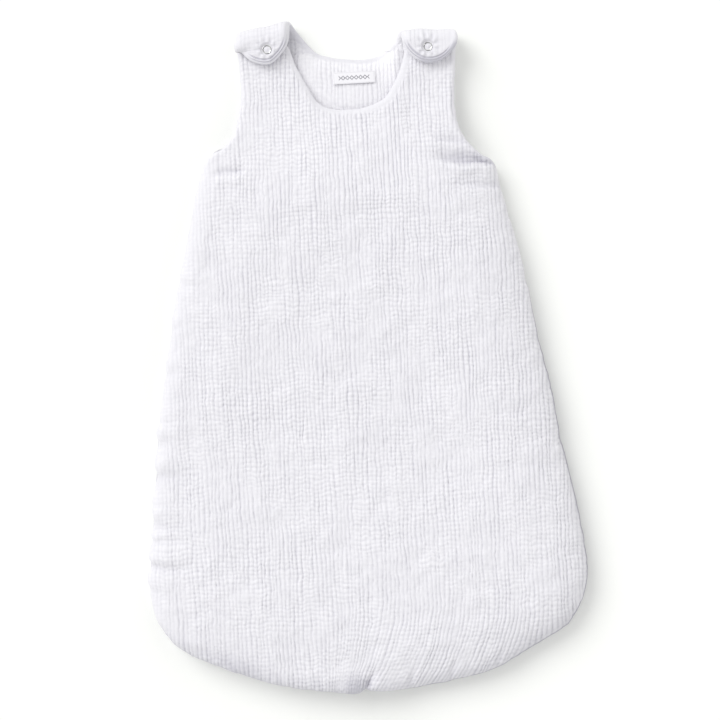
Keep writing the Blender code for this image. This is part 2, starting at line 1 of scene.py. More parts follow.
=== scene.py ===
"""The looks of a baby sleeping bag: crinkled cotton gauze over wadding, snapped straps, a zip
and a label.

Shapes are worked out in millimetres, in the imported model's own frame: +X is the sewn side, -X
the zip's side, +Y the head end and +Z out of the front. The origin is the middle of the bag, on
what it lies on.
"""

import math
from functools import partial

import bpy
import numpy as np
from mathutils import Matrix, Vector


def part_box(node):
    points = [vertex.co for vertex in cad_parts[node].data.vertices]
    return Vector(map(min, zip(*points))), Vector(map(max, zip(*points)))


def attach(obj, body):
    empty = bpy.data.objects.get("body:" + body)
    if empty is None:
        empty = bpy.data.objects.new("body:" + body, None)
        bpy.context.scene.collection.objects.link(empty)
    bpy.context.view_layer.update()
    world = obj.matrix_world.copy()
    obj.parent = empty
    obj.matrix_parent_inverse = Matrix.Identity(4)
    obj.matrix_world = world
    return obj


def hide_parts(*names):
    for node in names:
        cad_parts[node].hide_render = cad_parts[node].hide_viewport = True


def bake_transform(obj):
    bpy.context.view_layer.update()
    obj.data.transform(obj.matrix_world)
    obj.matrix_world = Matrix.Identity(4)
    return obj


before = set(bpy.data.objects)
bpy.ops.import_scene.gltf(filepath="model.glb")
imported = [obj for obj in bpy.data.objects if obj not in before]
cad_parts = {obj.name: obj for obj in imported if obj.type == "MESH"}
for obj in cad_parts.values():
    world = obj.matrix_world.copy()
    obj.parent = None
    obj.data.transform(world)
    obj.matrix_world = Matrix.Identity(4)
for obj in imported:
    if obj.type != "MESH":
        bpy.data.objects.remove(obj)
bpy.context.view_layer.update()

MM = 0.001
LATTICE = 97  # points along each side of a noise lattice, before it repeats


# ---- heights and places that every piece uses ----
def cad_mm(node):
    """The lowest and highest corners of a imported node, in millimetres."""
    low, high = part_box(node)
    return np.array(low) / MM, np.array(high) / MM


SNAP_CLEAR = 0.3  # the gap that keeps a snap half's mesh off its cloth's
TAB_TOP = cad_mm("left_snap_stud")[0][2] - SNAP_CLEAR
FLAP_TOP = cad_mm("left_flap_outer_shell")[1][2]
FLAP_UNDER = cad_mm("left_snap_socket")[1][2] + SNAP_CLEAR
FOLD_MIDDLE_Z = FLAP_TOP / 2
STRAP_THICK = FLAP_TOP - FLAP_UNDER
BODY_THICK = 14.0  # the front's and back's padding between the seams
CREST_Z = cad_mm("front_outer_shell")[1][2]
SEAM_Z = cad_mm("zip_pull_tab")[0][2] + 3.0  # the zip's middle: the pull tab hangs below it
SEWN_Z = 8.0  # the sewn edge sags below the zip's
ZIP_HALF_GAP = 4.5  # from the zip's middle to the inside of each panel's lip
SNAP_MIDDLE = (sum(cad_mm("right_snap_stud")) / 2)[:2]
SNAP_SEAT = 3.6  # the padding's thickness under a snap
SNAP_SHIFT = {-1: (-1.4, 2.4), 1: (0.9, -1.5)}  # how far each snap is from its place, out and up
RING_RAISED = 1.6  # how far a cap ring stands above its place, as the padding swells under it

PLEAT_PITCH, RIB_PITCH = 4.3, 4.6  # of the muslin's lengthwise and crosswise valleys

# The crease attribute is a pleat's height, which tints the gauze: ridges white, valleys grey, as
# painted shade.
SEWN_FLAT = 0.9  # what it is where the gauze is sewn flat
UNLIT = -0.9  # what it is in the gap where two layers meet
LINING_PAINTED_LIGHT = 0.6  # added to it on the lining: painted light, lifting the lining out of the shade between the layers


# ---- small maths ----
def smooth(value):
    """0 below 0, 1 above 1, and an eased ramp between."""
    held = np.clip(value, 0, 1)
    return held * held * (3 - 2 * held)


def bump(distance, reach):
    """1 at distance 0, falling along a bell curve, whose width is reach."""
    return np.exp(-((distance / reach) ** 2))


def pillow(distance, reach, power=2.2):
    """A superellipse's quarter: 0 at an edge, rising straight up, and level from reach onwards."""
    inward = 1 - np.clip(distance / reach, 0, 1)
    return (1 - inward**power) ** (1 / power)


def wavy(x, y, cell_x, cell_y, seed):
    """Smooth noise from -1 to 1: random values on a lattice of cells, eased between its points."""
    lattice = np.random.default_rng(seed).uniform(-1, 1, (LATTICE, LATTICE))
    across, along = x / cell_x + LATTICE * 7.3, y / cell_y + LATTICE * 7.6
    i, j = np.floor(across).astype(int), np.floor(along).astype(int)
    s, t = smooth(across - i), smooth(along - j)
    i, j = i % LATTICE, j % LATTICE
    k, m = (i + 1) % LATTICE, (j + 1) % LATTICE
    low = lattice[i, j] * (1 - s) + lattice[k, j] * s
    high = lattice[i, m] * (1 - s) + lattice[k, m] * s
    return low * (1 - t) + high * t


def curve(control, step=3.0):
    """Points about step apart on a smooth curve (Catmull-Rom) through the control points."""
    control = np.array(control, float)
    padded = np.vstack([2 * control[0] - control[1], control, 2 * control[-1] - control[-2]])
    runs = []
    for a, b, c, d in zip(padded, padded[1:], padded[2:], padded[3:]):
        count = max(1, round(float(np.linalg.norm(c - b)) / step))
        t = (np.arange(count) / count)[:, None]
        bend = (2 * a - 5 * b + 4 * c - d) * t**2 + (3 * b - a - 3 * c + d) * t**3
        runs.append(b + ((c - a) * t + bend) / 2)
    return np.vstack([*runs, control[-1:]])


def at_shares(line, shares):
    """The points of a line at given shares of its length."""
    steps = np.linalg.norm(np.diff(line, axis=0), axis=1)
    length = np.concatenate([[0], np.cumsum(steps)])
    return np.stack([np.interp(shares * length[-1], length, column) for column in line.T], -1)


def outwards(line):
    """The unit normals on the right of a line in plan, which for the zip is away from the bag."""
    steps = np.gradient(line, axis=0)
    steps /= np.linalg.norm(steps, axis=1)[:, None]
    return np.column_stack([steps[:, 1], -steps[:, 0]])


def distance_to(points, line):
    """Each point's distance to a polyline, for an array of points of any shape."""
    flat = points.reshape(-1, 2)
    along = np.diff(line, axis=0)
    real = (along**2).sum(1) > 1e-6
    starts, along = line[:-1][real], along[real]
    lengths = (along**2).sum(1)
    nearest = np.full(len(flat), 1e9)
    for start, run, squared in zip(starts, along, lengths):
        away = flat - start
        t = np.clip(away @ run / squared, 0, 1)
        nearest = np.minimum(nearest, np.hypot(away[:, 0] - t * run[0], away[:, 1] - t * run[1]))
    return nearest.reshape(points.shape[:-1])


def edge_shares(count, edge, steps=7):
    """Shares from 0 to 1, even in the middle, and closing up over an edge's width at both ends."""
    turn = edge * (1 - np.cos(np.linspace(0, math.pi / 2, steps)))
    return np.concatenate([turn[:-1], np.linspace(edge, 1 - edge, count), 1 - turn[-2::-1]])


def patch(bottom, top, left, right, across, along):
    """A grid inside four curves (a Coons patch).

    It is the blend of bottom and top, plus that of left and right, less that of the corners.
    """
    u, v = across[None, :, None], along[:, None, None]
    b, t = at_shares(bottom, across)[None], at_shares(top, across)[None]
    a, c = at_shares(left, along)[:, None], at_shares(right, along)[:, None]
    corners = (1 - u) * (1 - v) * b[:, :1] + u * (1 - v) * b[:, -1:]
    corners = corners + (1 - u) * v * t[:, :1] + u * v * t[:, -1:]
    return (1 - v) * b + v * t + (1 - u) * a + u * c - corners


def grid_normals(grid):
    """The upward unit normals of a grid of points, from the cross product of its directions."""
    normal = np.cross(np.gradient(grid, axis=1), np.gradient(grid, axis=0))
    return normal / np.maximum(np.linalg.norm(normal, axis=2, keepdims=True), 1e-9)


def raised(grid, height):
    """A grid whose points are moved up along their normals by a height each."""
    return grid + grid_normals(grid) * height[..., None]


# ---- meshes ----
def add_mesh(name, points_mm, polygons, attributes=()):
    """A smooth-shaded object from points in millimetres and arrays of polygons of one size each."""
    mesh = bpy.data.meshes.new(name)
    points = np.asarray(points_mm, float) * MM
    loops = np.concatenate([np.asarray(p).ravel() for p in polygons]).astype(np.int32)
    sizes = np.concatenate([np.full(len(p), np.asarray(p).shape[1]) for p in polygons])
    starts = np.concatenate([[0], np.cumsum(sizes)[:-1]]).astype(np.int32)
    mesh.vertices.add(len(points))
    mesh.vertices.foreach_set("co", points.ravel())
    mesh.loops.add(len(loops))
    mesh.loops.foreach_set("vertex_index", loops)
    mesh.polygons.add(len(sizes))
    mesh.polygons.foreach_set("loop_start", starts)
    mesh.update(calc_edges=True)
    for key, values in dict(attributes).items():
        layer = mesh.attributes.new(key, "FLOAT", "POINT")
        layer.data.foreach_set("value", np.asarray(values, np.float32).ravel())
    mesh.validate()
    mesh.shade_smooth()
    made = bpy.data.objects.new(name, mesh)
    bpy.context.scene.collection.objects.link(made)
    return made


def closed_pad(name, top, under, keep, **values):
    """A closed pad from two grids that meet at their borders, under keeping every keep-th line.

    values holds attributes by name, each as its values on the top and on the under side.
    """
    rows, cols = top.shape[:2]
    fine = np.arange(rows * cols).reshape(rows, cols)
    kept_rows = np.unique(np.r_[0:rows:keep, rows - 1])
    kept_cols = np.unique(np.r_[0:cols:keep, cols - 1])
    inner = np.ix_(kept_rows[1:-1], kept_cols[1:-1])
    index = fine.copy()
    index[inner] = fine.size + np.arange(index[inner].size).reshape(index[inner].shape)
    upper = np.stack([fine[:-1, :-1], fine[:-1, 1:], fine[1:, 1:], fine[1:, :-1]], -1)
    coarse = index[np.ix_(kept_rows, kept_cols)]
    lower = np.stack([coarse[:-1, :-1], coarse[1:, :-1], coarse[1:, 1:], coarse[:-1, 1:]], -1)
    border = np.ones(lower.shape[:2], bool)
    border[1:-1, 1:-1] = False
    polygons = [upper.reshape(-1, 4), lower[~border]]
    for r, c in zip(*np.nonzero(border)):
        r0, r1, c0, c1 = kept_rows[r], kept_rows[r + 1], kept_cols[c], kept_cols[c + 1]
        left = index[r0:r1, 0] if c0 == 0 else index[[r0], [c0]]
        back = index[-1, c0:c1] if r1 == rows - 1 else index[[r1], [c0]]
        right = index[r1:r0:-1, -1] if c1 == cols - 1 else index[[r1], [c1]]
        front = index[0, c1:c0:-1] if r0 == 0 else index[[r0], [c1]]
        polygons.append(np.concatenate([left, back, right, front])[None])
    points = np.vstack([top.reshape(-1, 3), under[inner].reshape(-1, 3)])
    attributes = {
        key: np.concatenate([above.ravel(), below[inner].ravel()])
        for key, (above, below) in values.items()
    }
    return add_mesh(name, points, polygons, attributes)


# ---- the bag's outline, from hem to shoulder ----
LEFT_SIDE = (
    (-214, -281), (-224, -262), (-229, -232), (-227.5, -205), (-222, -158), (-218, -120),
    (-214, -76), (-206, -28), (-196, 28), (-186, 80), (-174, 130), (-165, 168), (-155, 203),
    (-146, 215.5), (-133, 223), (-121.5, 237), (-115, 258), (-112, 282), (-112.5, 306), (-115, 326),
)
RIGHT_SIDE = (
    (214, -278), (224, -260), (229, -235), (226, -200), (217, -143), (207, -98), (199, -40),
    (187.5, 14), (177, 80), (166, 130), (156, 168), (152.5, 188), (146, 199), (134, 207),
    (121, 221), (113, 241), (110.5, 266), (112, 290), (113.5, 308), (115, 326),
)
HEM = (
    (-214, -281), (-204, -293), (-188, -304), (-157, -318), (-118, -333.5), (-81, -343),
    (-48, -348), (-24, -351.5), (-14, -350.5), (-8.5, -346.5), (-3, -349), (20, -350),
    (55, -347), (92, -341), (131, -331), (162, -313.5), (190, -299), (206, -288), (214, -278),
)
FRONT_NECK = (
    (-64, 331), (-59.5, 325), (-52, 304), (-44, 287), (-34.5, 271), (-24, 262), (-8, 258.3),
    (9, 258.7), (25, 262), (39, 270), (47.5, 283), (54, 297), (59, 311), (64, 331),
)
LEFT_TAB = ((-115, 326), (-112, 330), (-105, 332), (-90, 332.5), (-72, 332.5))
RIGHT_TAB = ((72, 328), (90, 328), (105, 328), (112, 327.5), (115, 326))
UNDERARM_LEFT, UNDERARM_RIGHT = 12, 11  # the sides' control points where the armholes begin
NOTCH_X = -8.5  # the hem's notch, where the zip ends

# The back's straps start on a line across it. The sides and the neck cross it at these places.
STRAP_CUT = 319.0
CUT_LEFT, CUT_RIGHT = (-114.2, STRAP_CUT), (113.8, STRAP_CUT)
NECK_LEFT, NECK_RIGHT = (-29, STRAP_CUT), (41, STRAP_CUT)
BACK_NECK = (
    NECK_LEFT, (-24, 317.4), (-14, 315), (-1.3, 313.2), (16, 312.2), (31, 313.8), (37.5, 316.6),
    NECK_RIGHT,
)

left_side, right_side, hem = curve(LEFT_SIDE), curve(RIGHT_SIDE), curve(HEM)
left_seam = left_side[: len(curve(LEFT_SIDE[: UNDERARM_LEFT + 1]))]
right_seam = right_side[: len(curve(RIGHT_SIDE[: UNDERARM_RIGHT + 1]))]
hem_middle = int(np.argmin(np.abs(hem[:, 0] - NOTCH_X)))
zip_run = np.vstack([left_seam[::-1], hem[1 : hem_middle + 1]])
sewn_run = np.vstack([hem[hem_middle:], right_seam[1:]])


def shoulder_share(y):
    """0 in the body, and 1 where the panels are as thin as the straps."""
    return smooth((y - 150) / 150)


# ---- the muslin ----
def muslin_pleats(x, y, seed, strength=1.0):
    """Height of the gauze's crinkle, in millimetres: puffed cells between narrow valleys.

    Each family of valleys lies where a coordinate, shifted by smooth noise and divided by its
    pitch, is whole. Its height is 1 - |t| ** sharpness, where t runs from -1 to 1 between two
    valleys. The lengthwise valleys run on; the crosswise ones are shallower, shift from pleat to
    pleat, and come and go in patches.
    """
    swerve = 1.5 * wavy(x, y, 17, 95, seed) + 1.0 * wavy(x, y, 5.0, 36, seed + 1)
    across = 2 * np.mod((x + swerve) / PLEAT_PITCH, 1) - 1
    valley = np.abs(across) ** 3.0
    shift = 1.5 * wavy(x, y, 5, 15, seed + 2) + 1.8 * wavy(x, y, 26, 13, seed + 3)
    along = 2 * np.mod((y + shift) / RIB_PITCH, 1) - 1
    rib = 1 - np.abs(along) ** 2.4
    ribbed = smooth(0.68 + 0.8 * wavy(x, y, 22, 26, seed + 4))
    depth = 0.85 + 0.42 * wavy(x, y, 4.6, 30, seed + 5) + 0.2 * wavy(x, y, 19, 40, seed + 7)
    fine = 0.2 * wavy(x, y, 2.0, 3.4, seed + 6)
    return strength * (1.0 - valley * depth + 0.62 * (rib - 0.6) * ribbed + fine)


def leaning(x, y):
    """The place across that a pleat at (x, y) comes from: pleats lean to the hem's middle."""
    below = np.clip(-250 - y, 0, None)
    return x + 0.0034 * below**2 * smooth((x + 62) / 70) * smooth((200 - x) / 60)


def creased(pleats, fade):
    """The crease attribute of pleats that fade out where the gauze is sewn flat."""
    return pleats * fade + SEWN_FLAT * (1 - fade)


def unlit(crease, share):
    """The crease attribute, taken towards that of an unlit gap by a share."""
    return crease - (crease - UNLIT) * share


# ---- padded panels ----
def panel_grid(top_edge, left, right, across_count, along_count, open_edge):
    """The panel's plan as a grid, and each point's distances to the edges that shape it."""
    across, along = edge_shares(across_count, 0.012), edge_shares(along_count, 0.010)
    plan = patch(hem, top_edge, left, right, across, along)
    zipped, sewn = distance_to(plan, zip_run), distance_to(plan, sewn_run)
    armholes = (left[len(left_seam) - 1 :], right[len(right_seam) - 1 :])
    armhole = np.min([distance_to(plan, line) for line in armholes], axis=0)
    return plan, zipped, sewn, armhole, distance_to(plan, open_edge)


def wander(plan):
    """Shifts a plan by a little smooth noise, so that no edge is quite true."""
    x, y = plan[..., 0], plan[..., 1]
    shift = np.stack([
        0.7 * wavy(x, y, 15, 13, 21) + 0.35 * wavy(x, y, 6, 5, 22),
        0.5 * wavy(x, y, 11, 15, 23) + 0.3 * wavy(x, y, 4.5, 6, 24),
    ], -1)
    return plan + shift


def half_thickness(share):
    """Half the padding's thickness, from the body's to the straps' as share goes from 0 to 1."""
    return BODY_THICK / 2 + (STRAP_THICK - BODY_THICK) / 2 * share


def seam_height(zipped, up):
    """The height of a panel's outer edge. up is 1 for the front and -1 for the back.

    The two edges touch along the sewn side, and stand apart by the zip, with the lips' padding.
    """
    near_zip = smooth(1 - np.clip(zipped - 14, 0, None) / 40)
    return SEWN_Z + 0.3 * up + (SEAM_Z - SEWN_Z + up * (ZIP_HALF_GAP + 2.7)) * near_zip


def lip_height(seam, rim, up):
    """The height of a panel's inside over the zip's tape, which it clears."""
    return seam - (seam - SEAM_Z - up * (ZIP_HALF_GAP + 0.4)) * rim


def low_sewn_side(x, y):
    """1 along the lower part of the sewn side, and fading out upwards and inwards."""
    return smooth((x - 100) / 60) * smooth((150 - y) / 200)


# Each tuck along the zip: its place, depth, length, slant and width.
ZIP_PUCKERS = (
    (-115, 1.0, 38, 0.05, 7.5), (-146, 0.3, 26, -0.05, 4.0), (-168, 0.8, 60, 0.15, 9.0),
    (-183, 0.55, 60, 0.16, 4.0), (-210, 0.95, 62, 0.12, 5.0), (-235, 0.4, 44, 0.1, 5.0),
    (-82, 0.7, 34, 0.05, 6.0), (-62, 0.45, 28, 0.1, 5.0), (-9, 0.5, 44, 0.08, 6.0),
    (35, 0.35, 30, -0.05, 4.5), (88, 0.35, 34, 0.12, 5.0),
)
# Each tuck at the hem: its upper end, its place across and its depth.
HEM_TUCKS = (
    (-312, -96, 1.3), (-306, -58, 1.0), (-314, 42, 1.1), (-308, 83, 1.6), (-298, 128, 1.7),
    (-290, 158, 1.0), (-296, -140, 1.2),
)
# Each underarm fold: its line's middle and slope, its depth, its widths above and below the line,
# where it fades in and out (a place across and the fade's width), its waviness, and the swelling
# under it (height, distance from the line and width).
UNDERARM_FOLDS = (
    ((118, 198), -0.10, 7.6, (11.0, 3.4), (74, 42), (168, 24), 1.2, (2.6, 8, 5)),
    ((108, 219), -0.15, 3.0, (7.0, 2.6), (80, 20), (300, 1), 0.0, (0.0, 8, 5)),
    ((130, 172), -0.05, 2.4, (8.0, 3.0), (96, 22), (170, 22), 0.0, (0.0, 8, 5)),
    ((-125, 197), 0.06, 3.2, (4.0, 4.0), (-150, 14), (-106, 14), 0.0, (1.6, 9, 6)),
)


def underarm_fold(x, y, middle, slope, depth, widths, start, end, wave, swelling):
    """A dent along a sloping line, with a swelling under it."""
    offset = y - middle[1] - slope * (x - middle[0]) + wave * np.sin(x / 8)
    dent = -depth * bump(offset, np.where(offset > 0, *widths))
    dent = dent + swelling[0] * bump(offset + swelling[1], swelling[2])
    return dent * smooth((x - start[0]) / start[1]) * smooth((end[0] - x) / end[1])


def puckers(x, y, zipped):
    """Short crosswise tucks where the zip's tape holds the gauze: about -1 in a deep tuck."""
    found = 0 * x
    for place, depth, length, slant, width in ZIP_PUCKERS:
        offset = y - place + slant * (x + 212) + 1.6 * np.sin(x / 10 + place)
        tuck = 0.7 * bump(offset - 1.9 * width, 1.5 * width) - bump(offset, width)
        found += depth * tuck * smooth(1 - zipped / length)
    return found


def front_creases(x, y, zipped):
    """The front's dents: underarm folds, puckers, hem tucks and the pinch where the zip ends."""
    dip = sum(underarm_fold(x, y, *fold) for fold in UNDERARM_FOLDS)
    dip += 3.2 * puckers(x, y, zipped)
    for top, across, depth in HEM_TUCKS:
        slanted = x - across - 0.35 * (y + 330) * np.sign(across)
        dip += depth * (0.6 * bump(slanted - 8, 5) - bump(slanted, 3.2)) * smooth((top - y) / 26)
    # The pinch leans right going up: a narrow dent, a broad one on its left, and two ridges.
    up_pinch = (y + 350) / 25
    from_pinch = x + 9 - 12 * up_pinch
    dip -= 6.0 * bump(from_pinch, 3.2) * smooth(1.15 - up_pinch)
    dip -= 3.0 * bump(from_pinch + 9, 7.0) * smooth(0.9 - up_pinch)
    dip += 1.8 * bump(np.abs(from_pinch) - 9, 5) * smooth(1.05 - up_pinch)
    return dip


def snap_place(side):
    """Where a snap is sewn, on the +X side. The left one, of side -1, is mirrored."""
    return SNAP_MIDDLE + SNAP_SHIFT[side]


def make_front():
    """The front: outside up, inside down, a lip over the zip, and thin tabs at the shoulders."""
    top_edge = np.vstack([LEFT_TAB, curve(FRONT_NECK), RIGHT_TAB])
    plan, zipped, sewn, armhole, neck = panel_grid(
        top_edge, left_side, right_side, 520, 500, top_edge
    )
    edge = np.min([zipped, sewn, armhole, neck], axis=0)
    x, y = plan[..., 0], plan[..., 1]

    # Its level rolls from the seam up to the crest, a little uneven, and comes down to the tabs.
    # The padding is half above it and half below, and closes at the rim.
    share = shoulder_share(y)
    seam, half = seam_height(zipped, 1), half_thickness(share)
    middle = CREST_Z - half
    middle = middle + (TAB_TOP - STRAP_THICK / 2 - middle) * share
    uneven = 1.3 * wavy(x, y, 85, 110, 31) + 0.8 * wavy(x, y, 38, 50, 32) - 1.3
    middle = middle + uneven * (1 - share)
    level = seam + (middle - seam) * pillow(np.minimum(zipped, sewn), 78)
    rim = pillow(edge, 6.5, 2.0)
    swell = 0.8 * wavy(x, y, 24, 15, 35) + 0.5 * wavy(x, y, 11, 9, 36)
    dents = front_creases(x, y, zipped)
    upper = level + half * rim + (dents + swell) * smooth(edge / 8)
    lower = level - half * rim
    lip = np.maximum(lower, lip_height(seam, rim, 1))
    lower = np.minimum(lower + (lip - lower) * smooth((34 - zipped) / 10), level)

    # A snap presses its tab flat.
    away = np.min([np.hypot(side * x - snap_place(side)[0], y - snap_place(side)[1])
                   for side in (-1, 1)], axis=0)
    press = smooth((11.2 - away) / 5.6)
    upper = upper + (TAB_TOP - upper) * press
    lower = lower + (TAB_TOP - SNAP_SEAT - lower) * press

    # In plan, the puckers pull the zip's edge in.
    plan = wander(plan)
    plan[..., 0] -= 3.0 * puckers(x, y, zipped) * smooth((16 - zipped) / 16)

    # The pleats flatten at the neck's wide hem, at the armholes and beside the zip.
    at_hem = smooth((-262 - y) / 30)
    calm = 0.30 + 0.70 * np.maximum(smooth((zipped - 3) / 20), at_hem)
    neck_hem = 3.2 + 3.0 * smooth(x / 40)
    hemmed = 0.10 + 0.90 * smooth((neck - neck_hem) / 3.5)
    hemmed = hemmed * (0.45 + 0.55 * smooth((armhole - 1.5) / 2))
    fade = smooth(edge / 2.5) * hemmed * calm * (1 - press)
    pleats = muslin_pleats(leaning(x, y), y, 41)
    lining = muslin_pleats(x, y, 61, 0.6) * fade
    top = raised(np.dstack([plan, upper]), pleats * fade)
    under = raised(np.dstack([plan, lower]), -lining)

    # Painted shade: grey where the hem curls under, in the pinch and in the dents, and unlit where
    # it meets the back.
    shaded = 0.6 * bump(x + 138, 30) * smooth((34 - edge) / 26) + 0.45 * smooth((20 - edge) / 18)
    shaded = at_hem * shaded + bump(x + 19, 12) * smooth((-320 - y) / 20)
    rim_shade = smooth((2.8 - edge) / 1.8) * np.maximum(at_hem, low_sewn_side(x, y))
    crease = unlit(creased(pleats, fade) + 0.13 * np.minimum(dents, 0) - shaded, rim_shade)
    return closed_pad("front_panel", top, under, 3, crease=(crease, lining + LINING_PAINTED_LIGHT))


def make_back():
    """The back, up to the straps: its lining up, and its outside down, flat where the bag lies."""
    neck = curve(BACK_NECK)
    cut_left = np.linspace(CUT_LEFT, NECK_LEFT, 20)
    cut_right = np.linspace(NECK_RIGHT, CUT_RIGHT, 20)
    top_edge = np.vstack([cut_left, neck[1:-1], cut_right]) - (0, 0.25)
    left, right = curve((*LEFT_SIDE[:-1], CUT_LEFT)), curve((*RIGHT_SIDE[:-1], CUT_RIGHT))
    plan, zipped, sewn, armhole, open_edge = panel_grid(top_edge, left, right, 400, 260, neck)
    edge = np.min([zipped, sewn, armhole, open_edge], axis=0)
    x, y = plan[..., 0], plan[..., 1]

    # It lies flat up to a short roll at the seam, and its lining stays under the zip.
    seam, half = seam_height(zipped, -1), half_thickness(shoulder_share(y))
    level = seam + (half - seam) * pillow(np.minimum(zipped, sewn), 18)
    rim = pillow(edge, 5.0, 2.0)
    lift = smooth((y - 235) / 30) * smooth((62 - np.abs(x)) / 14) * smooth((edge - 1) / 14)
    upper = level + half * rim + 0.6 * wavy(x, y, 40, 60, 33) * smooth(edge / 12) + 3.6 * lift
    lip = np.minimum(upper, lip_height(seam, rim, -1))
    upper = upper + (lip - upper) * smooth((34 - zipped) / 10)
    upper = np.minimum(upper, seam + (SEAM_Z - 1.4 - seam) * smooth(edge / 20))
    lower = np.maximum(level - half * rim, 0)

    # In plan, it comes out a little past the front at the hem and at parts of both sides.
    plan = wander(plan)
    at_hem, at_side = smooth((-225 - y) / 60), low_sewn_side(x, y)
    outer = smooth((14 - edge) / 14)
    at_chest = smooth((-90 - x) / 30) * smooth((y - 110) / 40) * smooth((300 - y) / 30)
    plan[..., 0] += (1.1 * at_side + 1.5 * at_chest) * outer
    plan[..., 1] -= 1.2 * at_hem * outer

    lining = muslin_pleats(x, y, 71, 0.7)
    sewn_flat = smooth((np.minimum(armhole, open_edge) - 3) / 4)
    fade = smooth(edge / 2.5) * (0.12 + 0.88 * sewn_flat)
    top = raised(np.dstack([plan, upper]), lining * fade)
    outside = muslin_pleats(leaning(x, y), y, 81)
    on_floor = lower < 0.5
    under = raised(np.dstack([plan, lower]), -(outside - 1.1 * on_floor) * fade)
    under[..., 2] = np.maximum(under[..., 2], 0)

    # The lining gets painted light at the neck's right end, out of the flap's shade.
    # Both sides get painted shade, unlit, at the low rim.
    light = LINING_PAINTED_LIGHT + 0.45 * smooth((x - 26) / 14) * smooth((y - 278) / 26)
    rim_shade = smooth((7 - edge) / 3) * np.maximum(at_hem, at_side)
    lining_crease = unlit(lining * fade + light, rim_shade)
    outside_crease = unlit(creased(outside, fade), rim_shade)
    return closed_pad("back_panel", top, under, 1, crease=(lining_crease, outside_crease))


# ---- straps ----
class Fold:
    """How a strap turns over the shoulder: straight, half round an ellipse, and straight back.

    start is where it begins to turn, reach is how far the turn goes beyond that, and tip_y is
    where the flap's tip comes down to. The flap slants: it is tilt_in further up at 60 mm from
    the middle, and tilt_slope less for each millimetre outwards.
    """

    def __init__(self, start, reach, tip_y, tilt_in, tilt_slope):
        self.start, self.reach = start, reach
        along, up = reach - STRAP_THICK / 2, FOLD_MIDDLE_Z - STRAP_THICK / 2
        self.turn = math.pi * math.sqrt((along**2 + up**2) / 2)
        self.end = start + self.turn
        self.tip = self.end + start - tip_y
        self.tilt_in, self.tilt_slope = tilt_in, tilt_slope

    def place(self, across, run, depth):
        """The point at a run along the strap and a depth in from its outside, as x, y and z."""
        angle = np.clip((run - self.start) / self.turn, 0, 1) * math.pi
        y = np.minimum(run, self.start) - np.maximum(run - self.end, 0)
        y = y + (self.reach - depth) * np.sin(angle)
        z = FOLD_MIDDLE_Z - (FOLD_MIDDLE_Z - depth) * np.cos(angle)
        out = np.abs(across)
        tilt = (self.tilt_in - self.tilt_slope * (out - 60)) * smooth((run - self.start) / 20)
        outer_tip = np.maximum(out - 80, 0) * smooth((run - self.end) / 18)
        return np.dstack([across, y + (tilt + 1.7 * self.tilt_slope * outer_tip), z])


WIDEST_IN, WIDEST_OUT = 58.6, 116.8  # the flap's edges where it is widest
# Each strap's fold, and its inner and outer edges up to there, as places across and runs along.
# Then how far the flap's outer lip is lifted and thinned, and where its free rim starts.
STRAPS = {
    "left": {
        "side": -1,
        "fold": Fold(start=332.5, reach=17.5, tip_y=307.5, tilt_in=3.5, tilt_slope=0.2),
        "inner": (NECK_LEFT, (36.5, 325), (44, 334.3), (52.5, 343.5), (57, 354)),
        "outer": (CUT_LEFT, (115, 330), (116, 345)),
        "lifted": -2.4, "thinned": 2.8, "free_from": 105,
    },
    "right": {
        "side": 1,
        "fold": Fold(start=325.5, reach=13.5, tip_y=302.3, tilt_in=0.5, tilt_slope=0.03),
        "inner": (NECK_RIGHT, (46.5, 325), (51, 331), (55.5, 340)),
        "outer": (CUT_RIGHT, (114.6, 328), (115.8, 340)),
        "lifted": 2.6, "thinned": 0.0, "free_from": 112,
    },
}


def strap_plan(fold, inner, outer):
    """A strap laid flat, on the +X side, as a grid, and each point's distance to its free edge."""
    widest = fold.end - 5
    inner = curve((np.abs(inner[0]), *inner[1:], (WIDEST_IN, widest)))
    outer = curve((np.abs(outer[0]), *outer[1:], (WIDEST_OUT, widest)))
    centre, half_width = (WIDEST_OUT + WIDEST_IN) / 2, (WIDEST_OUT - WIDEST_IN) / 2
    angles = np.radians(np.linspace(0, 90, 31))
    rise = (fold.tip - widest) * np.sin(angles) ** 1.06
    arc = np.column_stack([half_width * np.cos(angles), rise])
    outer_arc, inner_arc = arc + (centre, widest), arc * (-1, 1) + (centre, widest)
    split = 20  # the arcs' points up to here belong to the grid's sides, and the rest to its end
    left = np.vstack([inner, inner_arc[1 : split + 1]])
    right = np.vstack([outer, outer_arc[1 : split + 1]])
    tip = np.vstack([inner_arc[split:], outer_arc[split:-1][::-1]])
    cut = np.array([inner[0], outer[0]])
    flat = patch(cut, tip, left, right, edge_shares(108, 0.05), edge_shares(150, 0.03))
    return flat, distance_to(flat, np.vstack([left, tip[1:], right[::-1][1:]]))


